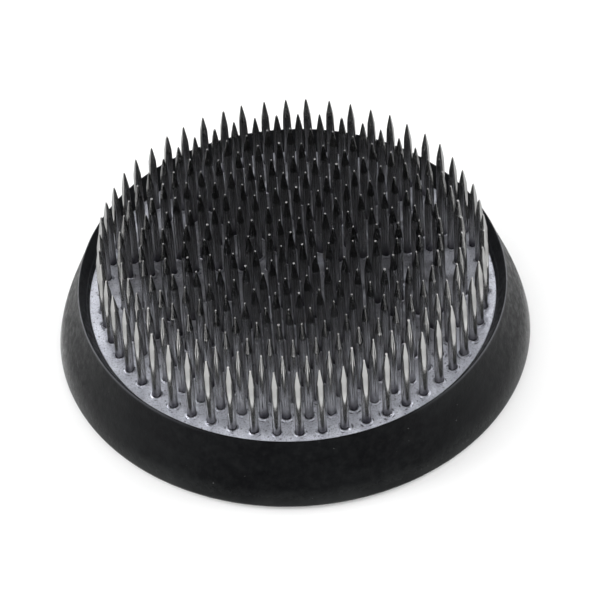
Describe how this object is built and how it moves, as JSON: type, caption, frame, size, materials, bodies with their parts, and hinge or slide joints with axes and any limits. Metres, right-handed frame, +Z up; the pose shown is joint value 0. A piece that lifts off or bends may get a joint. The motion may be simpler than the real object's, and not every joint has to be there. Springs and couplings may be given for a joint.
{
  "type": "flower frog",
  "caption": "Round spiked flower holder: a cast lead disc set with rings of sharp upright steel needles, resting in a flared black rubber guard that it lifts out of.",
  "frame": {"origin": "centre of the underside of the rubber guard, on the surface that it stands on", "axes": "+Z up, along the needles; +Y through a needle of every even ring and midway between two needles of every odd ring"},
  "size_m": [0.071, 0.071, 0.0215],
  "materials": {
    "guard_rubber": "satin",
    "cast_lead": "satin",
    "needle_steel": "polished"
  },
  "bodies": {
    "guard": {"rubber_guard": "guard_rubber"},
    "pin_plate": {"lead_base": "cast_lead", "centre_needle": "needle_steel", "needle_ring_1": "needle_steel", "needle_ring_2": "needle_steel", "needle_ring_3": "needle_steel", "needle_ring_4": "needle_steel", "needle_ring_5": "needle_steel", "needle_ring_6": "needle_steel", "needle_ring_7": "needle_steel", "needle_ring_8": "needle_steel", "needle_ring_9": "needle_steel"}
  },
  "joints": [
    {"name": "plate_lift", "type": "slide", "parent": "guard", "child": "pin_plate", "axis": [0, 0, 1], "range_m": [0, 0.025]}
  ]
}
